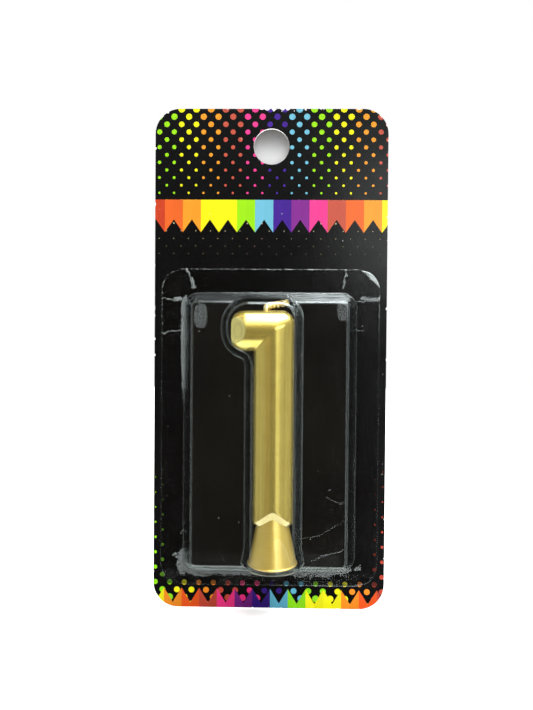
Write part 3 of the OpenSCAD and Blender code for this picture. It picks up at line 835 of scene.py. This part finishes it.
def wickRings(w):
    # path: straight in the wax, then one cubic bend; section: two lobes that turn along the path
    exitPoint = np.array([-w["offset"], 0, numeral["height"]])
    corners = exitPoint + np.array([[0, 0, 0], [0, 0, w["rise"] / 2], [w["run"] / 4, w["lean"], w["rise"] * 2 / 3],
                                    [w["run"], w["lean"], w["rise"]]])
    t = np.linspace(0, 1, w["steps"])[:, None]
    curve = ((1 - t) ** 3 * corners[0] + 3 * t * (1 - t) ** 2 * corners[1] + 3 * t ** 2 * (1 - t) * corners[2]
             + t ** 3 * corners[3])
    below = exitPoint + np.linspace(-w["below"], 0, 24)[:-1, None] * np.array([0, 0, 1.0])
    path = np.concatenate([below, curve])
    way = np.gradient(path, axis=0)
    way /= np.linalg.norm(way, axis=1, keepdims=True)
    length = np.concatenate([[0], np.cumsum(np.linalg.norm(np.diff(path, axis=0), axis=1))])
    across = np.cross([0.0, 1.0, 0.0], way)
    across /= np.linalg.norm(across, axis=1, keepdims=True)
    over = np.cross(way, across)
    turn = np.linspace(0, 2 * np.pi, w["sides"], endpoint=False)
    lobes = np.abs(np.sin(w["plies"] / 2 * (turn - 2 * np.pi * length[:, None] / w["pitch"])))
    close = np.sqrt(np.clip((length[-1] - length) / (w["endRound"] * w["width"]), 0.02, 1))[:, None]
    wave = np.sin(w["lumpWave"][0] * length + w["lumpWave"][1])[:, None]
    lump = 1 + w["lump"] * wave * np.cos(turn + w["lumpTurn"] * length[:, None])
    radius = w["width"] / 2 * (1 - w["groove"] * (1 - lobes)) * close * lump
    return (path[:, None] + radius[..., None] * (np.cos(turn)[None, :, None] * across[:, None]
                                                 + np.sin(turn)[None, :, None] * over[:, None]))


def goldThread():
    # lacquered cotton: brown flecks, for its brown streaks and for painted shade in its grooves, and bright flecks of
    # painted glint, each with its own slope
    material, tree = newMaterial("goldThread")
    vector = inMillimetres(tree)[0]
    cell = put(tree, "TexVoronoi", {"Vector": vector, "Scale": 1.9}).outputs["Color"]
    pick = put(tree, "SeparateColor", {0: cell}).outputs[0]
    colour = blend(tree, smooth(tree, pick, 0.15, 0.45), wick["dark"], wick["gold"])
    # painted glint: the brightest flecks turn near white
    colour = blend(tree, smooth(tree, pick, 0.55, 0.95), colour, wick["bright"])
    return finishMaterial(material, "BsdfPrincipled", {
        "Base Color": colour, "Metallic": wick["metal"], "Roughness": mixValue(tree, pick, 0.5, 0.18),
        "Normal": bumps(tree, pick, 0.8, 0.0002)})


points, faces = tube(wickRings(wick))
putMesh("candleWick", "candle", ["candle_wick"], atCandle(points), faces, goldThread(), 60)


# stage: pale floor, a sky that gives soft light, and the camera

# the last colour is the shadow painted on the wall behind the hole
stage = {"floorSize": 0.9, "floorGap": 0.0004, "wallPlace": 0.002, "wallSize": 0.008, "white": (0.97, 0.97, 0.97),
         "floorTone": (0.95, 0.95, 0.95), "wallTone": (0.94, 0.94, 0.94), "paintedHoleShadow": (0.09, 0.089, 0.086)}


def paleTone(tree, vector, tone):
    return blend(tree, mottle(tree, vector, 0.02, 0.0, 1.0), stage["white"], stage[tone])


def paleFloor():
    material, tree = newMaterial("paleFloor")
    return finishMaterial(material, "BsdfPrincipled", {
        "Base Color": paleTone(tree, inMillimetres(tree)[0], "floorTone"), "Roughness": 0.7,
        "Emission Color": (1, 1, 1, 1), "Emission Strength": 0.3})


def paleWall():
    # stands close behind the hole, shows only from its front, and carries a painted shadow there, darkest at the top
    material, tree = newMaterial("paleWall")
    vector, (x, _, z) = inMillimetres(tree)
    reach = vectors(tree, "DISTANCE", put(tree, "CombineXYZ", {0: x, 2: z}).outputs[0], (0, 0, 0.6))
    # painted shadow behind the hole: 0.42 of the dark colour at the bottom, rising to all of it at the top, fading out
    # from 6.5 to 7.5 mm
    shade = times(tree, mixValue(tree, smooth(tree, z, -5.6, 6.0), 0.42, 1.0), smooth(tree, reach, 7.5, 6.5))
    colour = blend(tree, shade, paleTone(tree, vector, "wallTone"), stage["paintedHoleShadow"])
    front = put(tree, "BsdfPrincipled", {"Base Color": colour, "Roughness": 0.8})
    backface = put(tree, "NewGeometry").outputs["Backfacing"]
    return finishMaterial(material, "MixShader", {
        0: backface, 1: front.outputs[0], 2: put(tree, "BsdfTransparent").outputs[0]})


def putStage(name, corners, material):
    mesh = bpy.data.meshes.new(name)
    mesh.from_pydata(corners, [], [(0, 1, 2, 3)])
    mesh.materials.append(material)
    sheet = bpy.data.objects.new(name, mesh)
    bpy.context.scene.collection.objects.link(sheet)
    sheet.visible_glossy = False
    return sheet


half, level = stage["floorSize"], cadBox[0].z - stage["floorGap"]
putStage("floor", [(-half, -half, level), (half, -half, level), (half, half, level), (-half, half, level)], paleFloor())
half, out = stage["wallSize"], stage["wallPlace"]
wall = putStage("wall", [(-half, out, -half), (half, out, -half), (half, out, half), (-half, out, half)], paleWall())
wall.visible_diffuse = False
wall.visible_shadow = False

# light round the horizon by bearing, in degrees to the right of the front, as grey levels
horizon = [(-180, 0.05), (-148, 0.05), (-130, 0.2), (-112, 0.42), (-80, 0.32), (-46, 0.34), (-38, 0.19), (-16, 0.13),
           (-11, 0.06), (11, 0.06), (14, 0.95), (20, 1.25), (27, 0.82), (36, 0.46), (46, 0.32), (56, 0.3), (104, 0.3),
           (116, 0.3), (130, 0.24), (148, 0.05), (180, 0.05)]
# grey levels of the other parts of the room, then the edges of some of them in degrees
sky = {
    "upper": 0.5, "glow": 3.6, "topLeft": 0.6, "topRight": 11.6, "backLeft": 0.3, "backRight": 0.4, "below": 2.3,
    "seen": 1.0, "fill": 0.53, "upperRise": (6.0, 34.0), "glowRise": (4.0, 8.0, 15.0, 21.0),
    "glowBearing": (4.0, 11.0, 42.0, 62.0), "topRise": (14.0, 64.0), "belowRise": (-42.0, -60.0),
}
coolLight, warmLight, topLight = (0.95, 1.0, 0.985), (1.22, 0.98, 0.72), (1.0, 1.0, 1.03)


def tinted(level):
    # dim parts of the room are warm, bright ones a little cool
    return tuple(level * c for c in (warmLight if level < 0.3 else coolLight))


def studioSky():
    world = bpy.data.worlds.new("studioSky")
    world.use_nodes = True
    tree = world.node_tree
    tree.nodes.clear()
    ray = put(tree, "TexCoord").outputs["Generated"]
    right, ahead, up = split(tree, ray)
    bearing = calc(tree, "ARCTAN2", right, times(tree, ahead, -1.0))
    place = addTimes(tree, 0.5, bearing, 0.5 / math.pi)
    light = stops(tree, place, [tinted(v) for _, v in horizon], "LINEAR", [(a + 180) / 360 for a, _ in horizon])
    cloud = mixValue(tree, smooth(tree, noise(tree, ray, 5.0), 0.35, 0.65), 0.75, 1.25)
    light = vectors(tree, "SCALE", light, cloud)
    degrees = times(tree, bearing, 180 / math.pi)
    rise = times(tree, calc(tree, "ARCSINE", up), 180 / math.pi)
    light = blend(tree, smooth(tree, rise, *sky["upperRise"]), light, tinted(sky["upper"]))
    # a glow up on the right
    glow = times(tree, within(tree, rise, sky["glowRise"]), within(tree, degrees, sky["glowBearing"]))
    light = blend(tree, glow, light, tinted(sky["glow"]))
    # the back above the horizon is dim
    lean = mixValue(tree, smooth(tree, right, -0.12, 0.13), sky["backLeft"], sky["backRight"])
    behind = times(tree, smooth(tree, ahead, 0.5, 0.7), smooth(tree, rise, 5.0, 12.0))
    light = blend(tree, behind, light, vectors(tree, "SCALE", coolLight, lean))
    # the light overhead comes on slowly, and is strong on the right
    overhead = calc(tree, "POWER", smooth(tree, rise, *sky["topRise"]), 2.0)
    lamp = mixValue(tree, smooth(tree, right, -0.14, 0.02), sky["topLeft"], sky["topRight"])
    overhead = times(tree, overhead, smooth(tree, ahead, 0.6, 0.4))
    light = blend(tree, overhead, light, vectors(tree, "SCALE", topLight, lamp))
    light = blend(tree, smooth(tree, rise, *sky["belowRise"]), light, tinted(sky["below"]))
    rays = put(tree, "LightPath").outputs
    # rough surfaces get a dimmer light
    light = blend(tree, rays["Is Diffuse Ray"], light, vectors(tree, "SCALE", light, sky["fill"]))
    light = blend(tree, rays["Is Camera Ray"], light, (sky["seen"],) * 3)
    put(tree, "OutputWorld", {"Surface": put(tree, "Background", {"Color": light}).outputs[0]})
    return world


bpy.context.scene.world = studioSky()

# camera: the card's middle stands this far off, turned by small angles about right, down and forward
camera = {"middle": (0, -59.5), "turn": (0.8, 0.98, 0.45), "offset": (0.98, 1.36, 162.9), "focus": 580.0,
          "height": 710.0}


def turned(axis, degrees):
    return np.array(Matrix.Rotation(math.radians(degrees), 3, axis))


def placeCamera(c):
    turn = turned("Z", c["turn"][2]) @ turned("Y", c["turn"][1]) @ turned("X", c["turn"][0])
    stand = -turn.T @ np.array(c["offset"])
    right, down, ahead = [np.array([row[0], row[2], -row[1]]) for row in turn]
    lens = bpy.data.cameras.new("camera")
    lens.sensor_width = 36.0
    lens.lens = c["focus"] / c["height"] * lens.sensor_width
    lens.clip_start = 0.005
    view = bpy.data.objects.new("camera", lens)
    bpy.context.scene.collection.objects.link(view)
    frameMatrix = np.eye(4)
    frameMatrix[:3, 0], frameMatrix[:3, 1], frameMatrix[:3, 2] = right, -down, -ahead
    frameMatrix[:3, 3] = np.array([stand[0], stand[2], c["middle"][1] - stand[1]]) * mm
    view.matrix_world = Matrix(frameMatrix.tolist())
    bpy.context.scene.camera = view


placeCamera(camera)
scene = bpy.context.scene
scene.view_settings.view_transform = "Standard"
scene.cycles.transparent_max_bounces = 32
print("stage ready")
